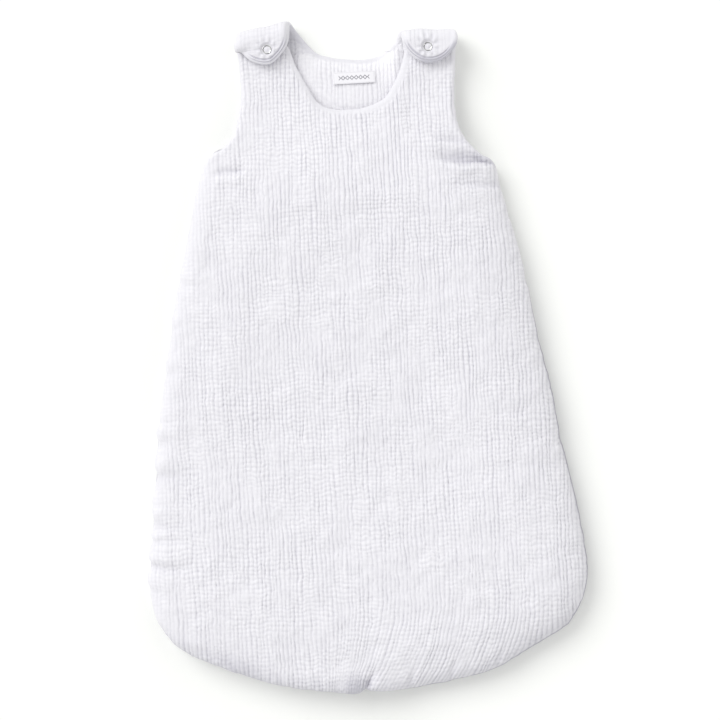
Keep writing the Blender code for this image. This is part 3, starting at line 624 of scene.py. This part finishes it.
def make_strap(name, side, fold, inner, outer, lifted, thinned, free_from):
    """A strap from the back's shoulder over the fold to the flap's tip, as one padded piece.

    It is made on the +X side, with outside and inside as depths in from its outer face, and the
    left one is mirrored.
    """
    flat, edge = strap_plan(fold, inner, outer)
    x, run = flat[..., 0], flat[..., 1]
    half = STRAP_THICK / 2
    over = fold.place(x, run, half + 0 * run)
    on_flap = smooth((over[..., 2] - 20) / 6)
    past_fold = run - fold.end + 4
    towards_tip = smooth(past_fold / 12)
    outer_lip = smooth((x - 94) / 18) * smooth(past_fold / 14)

    # The snap presses the flap flat, and the cloth gathers into small tucks round it.
    snap = snap_place(side)
    away = np.hypot(x - snap[0], over[..., 1] - snap[1])
    bearing = np.arctan2(over[..., 1] - snap[1], x - snap[0])
    press = smooth((7.6 - away) / 2.6) * on_flap
    tucks = 0.7 * np.sin(9 * bearing + 1.5 * side) * bump(away - 9.5, 3.2) * on_flap

    # Two rows of stitches hold the flap's free rim down, and its pleats are flatter.
    free_rim = towards_tip * smooth((free_from - x) / 10)
    stitched = (bump(edge - 4.8, 0.9) + 0.8 * bump(edge - 2.2, 0.7)) * free_rim
    pleats = muslin_pleats(x, run, 91 + side, 0.75)
    fade = smooth(edge / 2) * (0.2 + 0.8 * smooth((edge - 5) / 4))
    fade = fade * (1 - press) * (1 - 0.45 * on_flap)
    swell = 1.1 * wavy(x, run, 16, 14, 95 + side) * smooth(edge / 8) * (1 - press)
    height = pleats * fade + tucks - 1.3 * stitched * (1 - press) + swell

    # The cap ring's place is pressed in to its seat, and swells up in the middle of the ring.
    rim = pillow(edge, 4.8, 2.0)
    outside = half - half * rim - height
    seat = STRAP_THICK - SNAP_SEAT - 0.7 - RING_RAISED
    dome = 1.3 * bump(away, 2.2) * on_flap
    outside = outside + thinned * outer_lip + (seat - outside) * press - dome
    lining = muslin_pleats(x, run, 97 + side, 0.5) * fade
    inside = half + half * rim + lining
    inside = inside + (STRAP_THICK - inside) * press

    shift = 0.5 * wavy(x, run, 9, 11, 99 + side)
    top, under = fold.place(x + shift, run, inside), fold.place(x + shift, run, outside)
    droop = smooth((65 - x) / 9) * smooth((run - fold.start - fold.turn / 2) / 9)
    for grid in (top, under):
        grid[..., 0] *= side
        grid[..., 2] = np.maximum(grid[..., 2] + lifted * outer_lip - 8.0 * droop, 0)

    # The stitch lines and the tucks' hollows get painted shade. The right flap's rim is unlit, as
    # painted shade, and its lining gets painted light. The left one's lining goes grey towards the
    # fold, as painted shade, and its columns are turned round, as a mirrored face is inside out.
    crease = creased(pleats, fade) - 2.0 * stitched * (1 - press) + 0.5 * np.minimum(tucks, 0)
    lining = lining + LINING_PAINTED_LIGHT
    if side > 0:
        crease = unlit(crease, smooth((5.4 - edge) / 2.2) * smooth((x - 70) / 14) * towards_tip)
        lining = lining + 0.45
    else:
        lining = lining - 0.6 * smooth((run - STRAP_CUT - 1) / 14)
        top, under, crease, lining = (grid[:, ::-1] for grid in (top, under, crease, lining))
    return closed_pad(name, top, under, 1, crease=(lining, crease))


# ---- small hard pieces ----
def turned(name, profile, centre, sides=48):
    """A closed (radius, height) profile turned round a vertical axis, as a grid of rings."""
    profile = np.array(profile, float)
    angle = np.arange(sides) * 2 * math.pi / sides
    x = centre[0] + np.outer(np.cos(angle), profile[:, 0])
    y = centre[1] + np.outer(np.sin(angle), profile[:, 0])
    z = np.broadcast_to(profile[:, 1], x.shape)
    index = np.arange(x.size).reshape(x.shape)
    right, up = np.roll(index, -1, axis=0), np.roll(index, -1, axis=1)
    both = np.roll(right, -1, axis=1)
    quads = np.stack([index, right, both, up], -1).reshape(-1, 4)
    return add_mesh(name, np.dstack([x, y, z]).reshape(-1, 3), [quads])


def rounded_section(inner, outer, low, high, roundness):
    """A closed rectangular section with round corners, anticlockwise from its lower inner one."""
    corners = ((inner, low, 180), (outer, low, 270), (outer, high, 0), (inner, high, 90))
    centre = np.array(((inner + outer) / 2, (low + high) / 2))
    found = []
    for r, z, start in corners:
        turn = np.radians(start + np.linspace(0, 90, 5))
        from_corner = (r, z) + roundness * np.sign(centre - (r, z))
        found.append(from_corner + roundness * np.column_stack([np.cos(turn), np.sin(turn)]))
    return np.vstack(found)


def snap_profile(part, outer, low, high):
    """The section of one of a snap's pieces, between its outer radius and its two heights."""
    if part == "cap_ring":
        top = high + RING_RAISED
        return [(2.9, top - 1.2), (outer - 0.05, top - 1.2), (outer, top - 0.4),
                (outer - 0.15, top - 0.1), (outer - 0.45, top + 0.1), (outer - 0.8, top + 0.05),
                (3.3, top - 0.5), (2.85, top - 0.95)]
    if part == "backing_ring":
        return rounded_section(3.05, outer, low, low + 1.0, 0.45)
    if part == "socket":
        return rounded_section(2.25, outer, low, high, 0.3)
    flange = [(0.05, low), (outer - 0.25, low), (outer, low + 0.25), (outer, low + 0.5),
              (outer - 0.3, low + 0.75), (2.6, low + 0.8)]
    ball = [(1.15, low + 0.8), (1.1, low + 1.1), (1.5, low + 1.55), (1.6, low + 1.9),
            (1.45, low + 2.2), (1.0, high), (0.05, high)]
    return flange + ball


def make_snap(side, prefix):
    """A ring snap: its cap ring and socket on the flap, its stud and backing ring on the tab."""
    made = {}
    for part in ("cap_ring", "socket", "stud", "backing_ring"):
        low, high = cad_mm(f"{prefix}_snap_{part}")
        centre = (low + high)[:2] / 2 + np.array(SNAP_SHIFT[side]) * (side, 1)
        profile = snap_profile(part, (high - low)[0] / 2, low[2], high[2])
        made[part] = turned(f"{prefix}_snap_{part}_metal", profile, centre)
    return made


def finished_copy(node, name, bevel):
    """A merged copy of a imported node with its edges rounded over."""
    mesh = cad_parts[node].data.copy()
    mesh.name = name
    made = bpy.data.objects.new(name, mesh)
    bpy.context.scene.collection.objects.link(made)
    weld = made.modifiers.new("weld", "WELD")
    weld.merge_threshold = 1e-6
    if bevel:
        round_over = made.modifiers.new("bevel", "BEVEL")
        round_over.width, round_over.segments = bevel * MM, 3
        round_over.limit_method, round_over.angle_limit = "ANGLE", math.radians(35)
        round_over.harden_normals = True
    mesh.shade_smooth()
    return made


# ---- the zip ----
ZIP_INSET = 7.0  # from the bag's edge to the zip's middle
ZIP_TOP = (-155.0, 184.0)
ZIP_CORNER = (
    (-214, -91), (-226, -185), (-229.5, -228), (-226, -258), (-205, -289), (-160, -317),
    (-95, -341), (0, -350),
)
# The tapes' sections, as places out from the zip's middle and heights above it.
TAPES = {
    "front": ((0.0, 0.35), (-0.3, 2.0), (-0.9, 4.2), (-2.6, 6.6), (-5.5, 8.6)),
    "back": ((-4.5, -6.4), (-2.4, -5.4), (-0.9, -4.0), (-0.3, -2.0), (0.0, -0.35)),
}


def zip_line(margin):
    """The zip's middle, from the underarm to the hem's middle, less a margin at each end."""
    side = np.linspace(ZIP_TOP, ZIP_CORNER[0], 60)
    line = np.vstack([side, curve(ZIP_CORNER, 5)[1:]])
    inset = line - outwards(line) * ZIP_INSET
    share = margin / np.linalg.norm(np.diff(inset, axis=0), axis=1).sum()
    return at_shares(inset, np.linspace(share, 1 - share, 500))


def ribbon(name, line, section):
    """A closed section of (out, height) points carried along a line in plan."""
    out = outwards(line)
    section = np.array(section)
    plan = line[:, None] + out[:, None] * section[None, :, :1]
    grid = np.dstack([plan, np.broadcast_to(section[:, 1], plan.shape[:2])])
    index = np.arange(grid.shape[0] * grid.shape[1]).reshape(grid.shape[:2])
    beside = np.roll(index, -1, axis=1)
    quads = np.stack([index[:-1], index[1:], beside[1:], beside[:-1]], -1).reshape(-1, 4)
    return add_mesh(name, grid.reshape(-1, 3), [quads, index[:1], index[-1:, ::-1]])


def strip_section(middle, thick):
    """A thin closed section round a middle line: out along its right, and back along its left."""
    beside = outwards(middle) * thick / 2
    return np.vstack([middle + beside, (middle - beside)[::-1]])


def coil_teeth(name, line, height, shift):
    """One row of a nylon coil: an oval bead for each turn of its filament, along the tape."""
    pitch, out_radius, run_radius, up_radius, inset = 1.35, 0.82, 0.56, 1.15, 0.95
    count = int(np.linalg.norm(np.diff(line, axis=0), axis=1).sum() / pitch)
    middle = at_shares(line, (np.arange(count) + shift) / count)
    out = outwards(middle)
    run = np.column_stack([-out[:, 1], out[:, 0]])
    around, up = np.arange(8) * math.pi / 4, np.radians([-62, -25, 25, 62])
    around, up = [turn.ravel() for turn in np.meshgrid(around, up, indexing="ij")]
    bead = np.column_stack([out_radius * np.cos(around) * np.cos(up),
                            run_radius * np.sin(around) * np.cos(up), up_radius * np.sin(up)])
    bead = np.vstack([bead, (0, 0, -up_radius), (0, 0, up_radius)])
    plan = middle[:, None] + out[:, None] * (bead[None, :, :1] + inset)
    plan = plan + run[:, None] * bead[None, :, 1:2]
    points = np.dstack([plan, np.broadcast_to(height + bead[:, 2], plan.shape[:2])])
    index = np.arange(32).reshape(8, 4)
    beside = np.roll(index, -1, axis=0)
    quads = np.stack([index[:, :-1], beside[:, :-1], beside[:, 1:], index[:, 1:]], -1)
    low = np.column_stack([index[:, 0], np.full(8, 32), beside[:, 0]])
    high = np.column_stack([beside[:, 3], np.full(8, 33), index[:, 3]])
    offsets = (np.arange(count) * len(bead))[:, None, None]
    polygons = [(one[None] + offsets).reshape(-1, one.shape[1])
                for one in (quads.reshape(-1, 4), low, high)]
    return add_mesh(name, points.reshape(-1, 3), polygons)


def make_zip():
    """Tapes that turn in under the panels, a row of coil on each, and the stops at the ends."""
    made = {}
    tape_line, coil_line = zip_line(5), zip_line(11)
    for half, sign in (("front", 1), ("back", -1)):
        section = strip_section(np.array(TAPES[half]) + (0, SEAM_Z), 0.45)
        made[f"zip_tape_{half}"] = ribbon(f"zip_tape_{half}_woven", tape_line, section)
        height, shift = SEAM_Z + sign * 0.85, 0.25 + 0.25 * sign
        coil = coil_teeth(f"zip_coil_{half}_nylon", coil_line, height, shift)
        made[f"zip_coil_{half}"] = coil
        stop = f"zip_top_stop_{half}"
        made[stop] = finished_copy(stop, f"{stop}_nylon", 0.25)
    made["zip_bottom_stop"] = finished_copy("zip_bottom_stop", "zip_bottom_stop_nylon", 0.25)
    made["zip_slider_body"] = finished_copy("zip_slider_body", "zip_slider", 0.3)
    made["zip_pull_tab"] = finished_copy("zip_pull_tab", "zip_pull", 0.25)
    made["zip_pull_pin"] = finished_copy("zip_pull_pin", "zip_pin", 0.0)
    return made


# ---- the label ----
LABEL_WIDTH, LABEL_HEIGHT, LABEL_THICK = 44.4, 12.6, 0.5
LABEL_MIDDLE, LABEL_TURN = (6.9, 292.3), math.radians(0.7)


def make_label():
    """A woven label: a thin closed strip, turned a little, whose lower edge stands off the lining.

    Its attributes are each point's place across it and up it, which its material draws with.
    """
    u, v = np.meshgrid(edge_shares(60, 0.03) - 0.5, edge_shares(20, 0.06) - 0.5)
    across, up = u * LABEL_WIDTH, v * LABEL_HEIGHT
    x = LABEL_MIDDLE[0] + across * math.cos(LABEL_TURN) - up * math.sin(LABEL_TURN)
    y = LABEL_MIDDLE[1] + across * math.sin(LABEL_TURN) + up * math.cos(LABEL_TURN)
    edge = np.minimum(LABEL_WIDTH / 2 - np.abs(across), LABEL_HEIGHT / 2 - np.abs(up))
    curl = 0.25 * np.sin(across / 5.5) * (0.5 - v) - 0.4 * np.abs(2 * u) ** 6
    level = 15.0 - 1.4 * v + curl
    rim = pillow(edge, 0.4, 2.0) * LABEL_THICK / 2
    top, under = np.dstack([x, y, level + rim]), np.dstack([x, y, level - rim])
    places = {"label_across": (across, across), "label_up": (up, up)}
    return closed_pad("neck_label_woven", top, under, 2, **places)


# ---- materials ----
def linear(hex_colour):
    """The linear colour of an sRGB hex value."""
    parts = np.array([int(hex_colour[i : i + 2], 16) for i in (1, 3, 5)]) / 255
    return (*np.where(parts <= 0.04045, parts / 12.92, ((parts + 0.055) / 1.055) ** 2.4), 1.0)


def new_material(name):
    """A material, its node tree and its Principled shader."""
    made = bpy.data.materials.new(name)
    made.use_nodes = True
    return made, made.node_tree, made.node_tree.nodes["Principled BSDF"]


def feed(tree, node, settings, **links):
    """Sets a node's attributes, and its inputs by name, and links what feeds its inputs."""
    for key, value in settings.items():
        if hasattr(node, key):
            setattr(node, key, value)
        else:
            node.inputs[key].default_value = value
    for key, source in links.items():
        tree.links.new(source, node.inputs[key.replace("_", " ")])
    return node


def add(tree, kind, settings=(), **links):
    """Adds a node, with its settings and links as feed takes them."""
    return feed(tree, tree.nodes.new(kind), dict(settings), **links)


def mixed(tree, share, first, second):
    """A colour from one hex value to another, as share goes from 0 to 1."""
    colours = {"data_type": "RGBA", "A": linear(first), "B": linear(second)}
    return add(tree, "ShaderNodeMix", colours, Factor=share).outputs["Result"]


def maths(tree, operation, *values):
    """The result of a maths node on numbers and on other nodes' results."""
    made = add(tree, "ShaderNodeMath", {"operation": operation})
    for socket, value in zip(made.inputs, values):
        if isinstance(value, (int, float)):
            socket.default_value = value
        else:
            tree.links.new(value, socket)
    return made.outputs[0]


def relief(tree, height, strength, distance, **links):
    """The normal of a bumpy surface whose bumps are a distance high, in metres, at full height."""
    depth = {"Strength": strength, "Distance": distance}
    return add(tree, "ShaderNodeBump", depth, Height=height, **links).outputs["Normal"]


def cotton_gauze(name, ridge, valley, thread_mm, rib_strength):
    """Crinkled cotton gauze: matt, fuzzy, white with a violet cast, with its valleys grey as
    painted shade.

    Its plain weave is drawn at thread_mm, coarser than the real 0.35 mm, so that it shows. Short
    crosswise ribs, 2 to 4 mm apart, break up the pleats, as the gauze's two layers are tacked.
    """
    made, tree, shader = new_material(name)
    place = add(tree, "ShaderNodeTexCoord").outputs["Object"]
    crease = add(tree, "ShaderNodeAttribute", {"attribute_name": "crease"}).outputs["Fac"]
    # Painted shade: the lower the crease attribute, the greyer the gauze.
    tint = add(tree, "ShaderNodeMapRange", {"From Min": -0.5, "From Max": 2.0}, Value=crease)
    thread = {"Scale": 1000 / thread_mm / 6.28, "Distortion": 2.0, "Detail": 1.0}
    threads = [
        add(tree, "ShaderNodeTexWave", {**thread, "bands_direction": axis}, Vector=place)
        for axis in ("X", "Y")
    ]
    weave = maths(tree, "ADD", *[one.outputs["Fac"] for one in threads])
    squeeze = add(tree, "ShaderNodeMapping", {"Scale": (170, 420, 170)}, Vector=place)
    rib = {"Scale": 1.0, "Detail": 3.0, "Roughness": 0.55}
    ribs = add(tree, "ShaderNodeTexNoise", rib, Vector=squeeze.outputs["Vector"])
    ribbed = relief(tree, ribs.outputs["Fac"], rib_strength, 0.0011)
    soft = {"Roughness": 0.92, "Sheen Weight": 0.25, "Sheen Roughness": 0.5,
            "Specular IOR Level": 0.2}
    feed(tree, shader, soft, Base_Color=mixed(tree, tint.outputs["Result"], valley, ridge),
         Normal=relief(tree, weave, 0.35, 0.00012, Normal=ribbed))
    return made


DIM_SIDE = (0.66, -0.60, 0.45)  # towards the unlit side of the room, and up, where the nickel's painted reflection goes dark


def nickel_plate():
    """Nickel-plated brass, stamped and tumbled: bright and warm grey, blurred by faint scratches.

    Plating mirrors the room, so what faces its unlit side, as DIM_SIDE points, is painted dark: a
    painted reflection in its colour.
    """
    made, tree, shader = new_material("nickel_plated_brass")
    place = add(tree, "ShaderNodeTexCoord").outputs["Object"]
    grain = add(tree, "ShaderNodeTexNoise", {"Scale": 900.0, "Detail": 4.0}, Vector=place)
    grain = grain.outputs["Fac"]
    rough = add(tree, "ShaderNodeMapRange", {"To Min": 0.12, "To Max": 0.26}, Value=grain)
    # Painted reflection: the colour darkens where the surface faces DIM_SIDE.
    facing = add(tree, "ShaderNodeVectorMath", {"operation": "DOT_PRODUCT"})
    tree.links.new(add(tree, "ShaderNodeNewGeometry").outputs["Normal"], facing.inputs[0])
    facing.inputs[1].default_value = DIM_SIDE
    turned_away = {"From Min": 0.3, "From Max": 0.7}
    painted_dark_reflection = add(tree, "ShaderNodeMapRange", turned_away, Value=facing.outputs["Value"])
    feed(tree, shader, {"Metallic": 1.0}, Roughness=rough.outputs["Result"],
         Base_Color=mixed(tree, painted_dark_reflection.outputs["Result"], "#f4f4f2", "#6c6d70"),
         Normal=relief(tree, grain, 0.15, 0.00008))
    return made


def zip_tape_cloth():
    """Woven polyester tape: a fine twill whose ribs run at a slant, white with a slight sheen."""
    made, tree, shader = new_material("woven_polyester_tape")
    place = add(tree, "ShaderNodeTexCoord").outputs["Object"]
    slant = add(tree, "ShaderNodeMapping", {"Rotation": (0.0, 0.6, 0.7)}, Vector=place)
    rib = {"Scale": 260.0, "Distortion": 0.5}
    twill = add(tree, "ShaderNodeTexWave", rib, Vector=slant.outputs["Vector"])
    cloth = {"Base Color": linear("#e6e6ea"), "Roughness": 0.7, "Sheen Weight": 0.2}
    feed(tree, shader, cloth, Normal=relief(tree, twill.outputs["Fac"], 0.5, 0.0001))
    return made


def moulded_nylon():
    """Nylon monofilament: white, with a soft plastic gloss that is uneven from turn to turn."""
    made, tree, shader = new_material("nylon_coil")
    place = add(tree, "ShaderNodeTexCoord").outputs["Object"]
    mottle = add(tree, "ShaderNodeTexNoise", {"Scale": 700.0, "Detail": 2.0}, Vector=place)
    gloss = {"To Min": 0.28, "To Max": 0.42}
    rough = add(tree, "ShaderNodeMapRange", gloss, Value=mottle.outputs["Fac"])
    plastic = {"Base Color": linear("#ececec"), "IOR": 1.53}
    feed(tree, shader, plastic, Roughness=rough.outputs["Result"])
    return made


def baked_enamel():
    """Zinc casting under baked white enamel: glossy, with the slight ripple of sprayed paint."""
    made, tree, shader = new_material("baked_white_enamel")
    place = add(tree, "ShaderNodeTexCoord").outputs["Object"]
    ripple = add(tree, "ShaderNodeTexNoise", {"Scale": 450.0, "Detail": 1.0}, Vector=place)
    paint = {"Base Color": linear("#e9e9eb"), "Roughness": 0.24, "Coat Weight": 0.4}
    feed(tree, shader, paint, Normal=relief(tree, ripple.outputs["Fac"], 0.12, 0.0001))
    return made


def woven_satin():
    """Woven satin label: white, fine ribs across, a grey border line and a row of diamonds."""
    made, tree, shader = new_material("woven_satin_label")
    across, up = [
        add(tree, "ShaderNodeAttribute", {"attribute_name": key}).outputs["Fac"]
        for key in ("label_across", "label_up")
    ]
    kinds = ("SUBTRACT", "MULTIPLY", "ABSOLUTE", "LESS_THAN")
    minus, times, size, under = (partial(maths, tree, kind) for kind in kinds)

    # A point is on a diamond's outline where its distances across and up add up to about half.
    pitch, half, line, diamonds = 4.6, 2.0, 0.55, 7
    wave = size(minus(maths(tree, "FRACT", maths(tree, "DIVIDE", across, pitch)), 0.5))
    apart = maths(tree, "ADD", times(wave, pitch), size(up))
    outline = under(size(minus(apart, half)), line)
    motif = times(outline, under(size(across), diamonds / 2 * pitch))

    # The border is a thin line, 0.9 mm in from the sides and ends.
    inwards = maths(tree, "MINIMUM", minus(21.9, size(across)), minus(6.4, size(up)))
    border = under(size(minus(inwards, 0.9)), 0.16)
    mark = maths(tree, "ADD", times(motif, 0.9), times(border, 0.3))
    ribs = maths(tree, "SINE", times(up, 2 * math.pi / 0.45))
    feed(tree, shader, {"Roughness": 0.5, "Sheen Weight": 0.15},
         Base_Color=mixed(tree, mark, "#f1f0f4", "#7c7b84"),
         Normal=relief(tree, ribs, 0.3, 0.0001))
    return made


def dress(piece, material, body, slot, *nodes):
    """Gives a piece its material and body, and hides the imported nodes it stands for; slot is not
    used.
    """
    piece.data.materials.clear()
    piece.data.materials.append(material)
    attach(piece, body)
    if nodes:
        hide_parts(*nodes)


# ---- floor, light and camera ----
FLOOR_HALF, FLOOR_Z = 6000, -0.4  # millimetres
WORLD_STRENGTH, KEY_STRENGTH, KEY_WIDTH = 0.78, 1.38, 38.0  # the width is the sun's, in degrees
KEY_FROM = (-0.76, 0.70, 1.0)
# Metres, and the camera's roll in degrees. FRAME_WIDTH is what it sees across at CAMERA_LEVEL.
FRAME_WIDTH, CAMERA_LEVEL, CAMERA_UP, CAMERA_ROLL = 0.750, 0.030, 2.6, 2.45
CAMERA_OVER = (0.0005, -0.0037)
SENSOR_MM = 36.0


def make_surroundings():
    """A pale floor and backdrop, soft light from the upper left, and a camera straight above."""
    scene = bpy.context.scene
    scene.view_settings.view_transform = "Standard"
    made, tree, shader = new_material("pale_floor")
    matt = {"Base Color": linear("#fafbf8"), "Roughness": 0.9, "Specular IOR Level": 0.0}
    feed(tree, shader, matt)
    corners = [(x * FLOOR_HALF, y * FLOOR_HALF, FLOOR_Z)
               for x, y in ((-1, -1), (1, -1), (1, 1), (-1, 1))]
    floor = add_mesh("floor", corners, [np.array([[0, 1, 2, 3]])])
    floor.data.materials.append(made)
    world = bpy.data.worlds.new("studio")
    world.use_nodes = True
    backdrop = {"Color": (1.0, 1.0, 1.0, 1.0), "Strength": WORLD_STRENGTH}
    feed(world.node_tree, world.node_tree.nodes["Background"], backdrop)
    scene.world = world
    key = bpy.data.lights.new("key", "SUN")
    key.energy, key.angle = KEY_STRENGTH, math.radians(KEY_WIDTH)
    lamp = bpy.data.objects.new("key", key)
    lamp.location = KEY_FROM
    lamp.rotation_euler = (-Vector(KEY_FROM)).to_track_quat("-Z", "Y").to_euler()
    scene.collection.objects.link(lamp)
    camera = bpy.data.cameras.new("camera")
    camera.sensor_width = SENSOR_MM
    camera.lens = SENSOR_MM * CAMERA_UP / FRAME_WIDTH
    eye = bpy.data.objects.new("camera", camera)
    eye.location = (*CAMERA_OVER, CAMERA_UP + CAMERA_LEVEL)
    eye.rotation_euler = (0.0, 0.0, -math.radians(CAMERA_ROLL))
    scene.collection.objects.link(eye)
    scene.camera = eye


def main():
    make_surroundings()
    gauze = cotton_gauze("crinkled_cotton_gauze", "#fcfbfe", "#cac9d1", 0.7, 0.6)
    nickel, tape, nylon = nickel_plate(), zip_tape_cloth(), moulded_nylon()
    enamel, satin = baked_enamel(), woven_satin()

    front, back = make_front(), make_back()
    dress(front, gauze, "bag", "muslin", "front_outer_shell", "front_wadding", "front_lining")
    dress(back, gauze, "bag", "muslin", "back_outer_shell", "back_wadding", "back_lining")
    for prefix, shape in STRAPS.items():
        flap = f"{prefix}_flap"
        strap = make_strap(f"{prefix}_strap", **shape)
        strap.data.materials.append(gauze)
        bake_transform(strap)
        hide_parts(*[f"{flap}_{layer}" for layer in ("outer_shell", "wadding", "lining")])
        for part, piece in make_snap(shape["side"], prefix).items():
            body = flap if part in ("cap_ring", "socket") else "bag"
            dress(piece, nickel, body, "snap_metal", f"{prefix}_snap_{part}")
    looks = {
        "zip_tape_front": (tape, "bag", "zip_tape"),
        "zip_tape_back": (tape, "bag", "zip_tape"),
        "zip_slider_body": (enamel, "zip_slider", "slider_paint"),
        "zip_pull_tab": (enamel, "zip_pull", "slider_paint"),
        "zip_pull_pin": (nickel, "zip_slider", "snap_metal"),
    }
    for node, piece in make_zip().items():
        dress(piece, *looks.get(node, (nylon, "bag", "zip_nylon")), node)
    dress(make_label(), satin, "bag", "label", "neck_label")


main()
